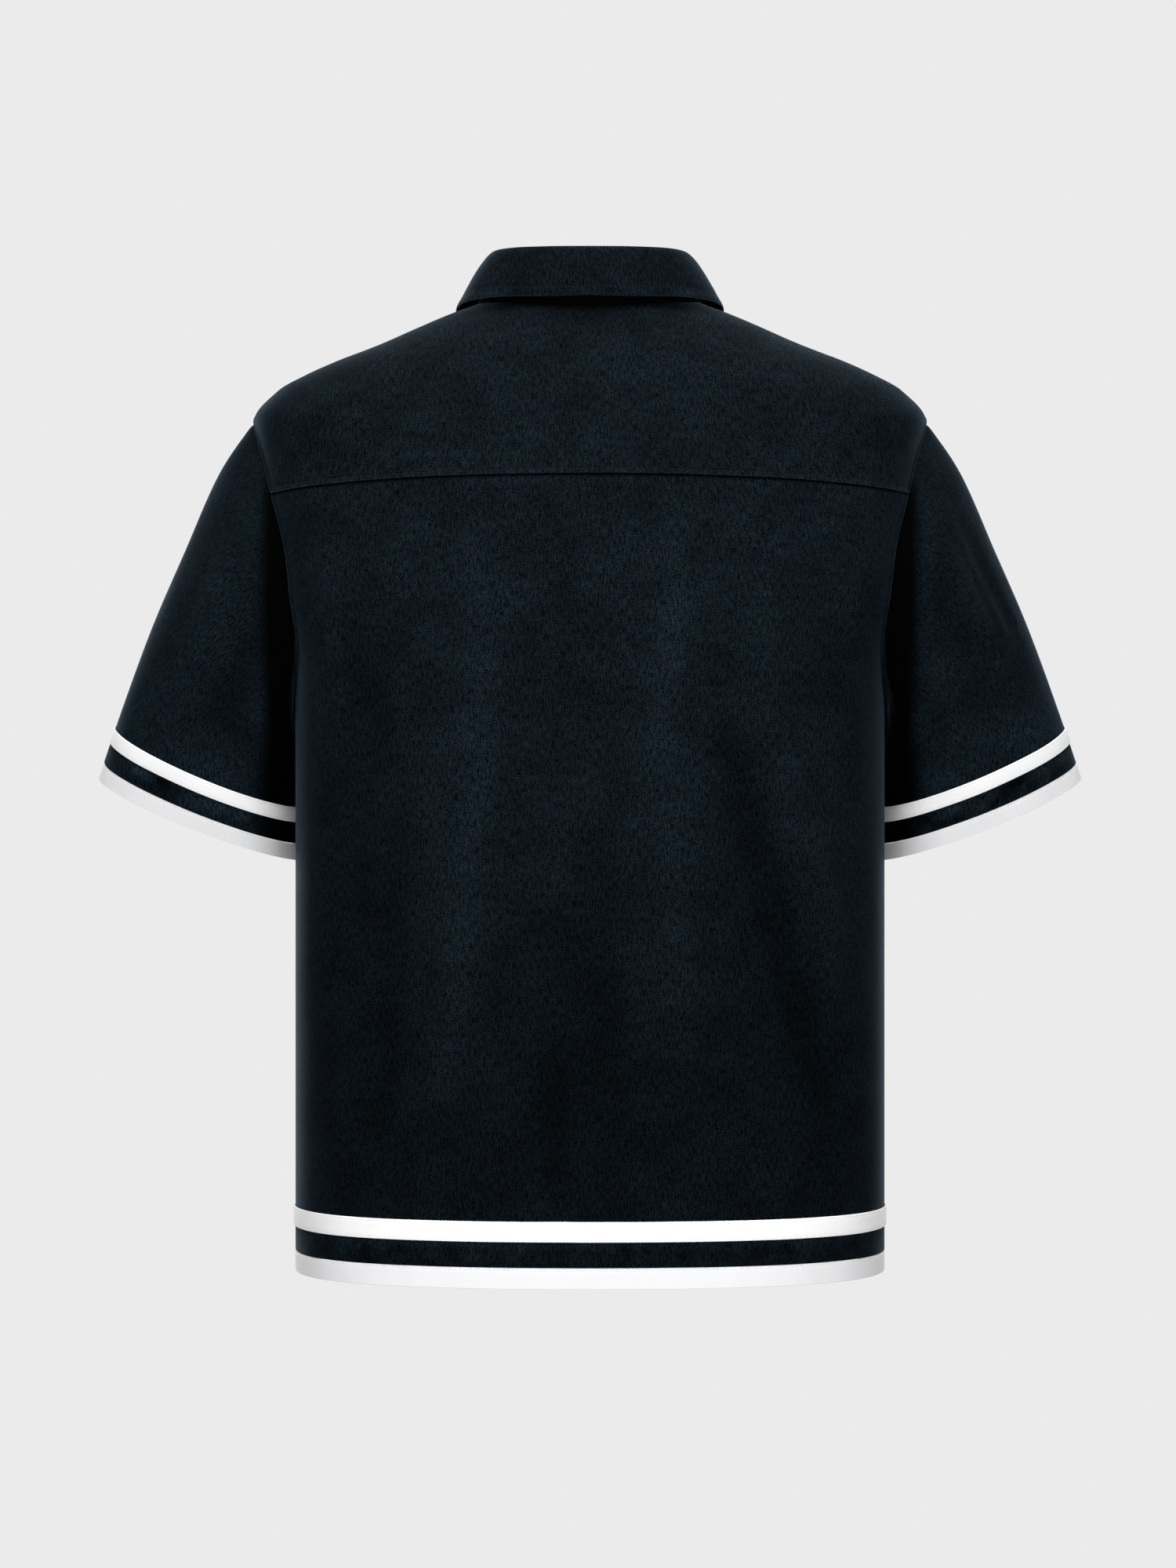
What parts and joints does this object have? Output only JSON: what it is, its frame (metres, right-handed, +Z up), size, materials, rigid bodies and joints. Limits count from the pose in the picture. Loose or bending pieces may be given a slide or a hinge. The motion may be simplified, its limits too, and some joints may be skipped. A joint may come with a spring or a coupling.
{
  "type": "polo shirt",
  "caption": "Boxy short-sleeved polo shirt with a back yoke, folded collar and button placket, white tape and edging round hem and cuffs, filled out and hollow.",
  "frame": {"origin": "midway between the two side points of the neck, where the wearer's neck and shoulders hold the shirt", "axes": "+Z up along the body, +Y out of the back, +X towards the wearer's left"},
  "size_m": [0.7036, 0.2673, 0.7153],
  "materials": {
    "body_cloth": "brushed blue-black cotton twill",
    "white_tape": "smooth white tape",
    "white_edging": "folded white cotton edging",
    "button": "dark satin button"
  },
  "bodies": {
    "root": {"back_panel": "body_cloth", "back_yoke": "body_cloth", "front_panel": "body_cloth", "placket_upper": "body_cloth", "placket_under": "body_cloth", "sleeve_left": "body_cloth", "sleeve_right": "body_cloth", "collar_stand": "body_cloth", "collar_leaf": "body_cloth", "hem_tape": "white_tape", "cuff_tape_left": "white_tape", "cuff_tape_right": "white_tape", "hem_band": "white_edging", "cuff_band_left": "white_edging", "cuff_band_right": "white_edging", "button_1": "button", "button_2": "button", "button_3": "button"}
  },
  "joints": []
}
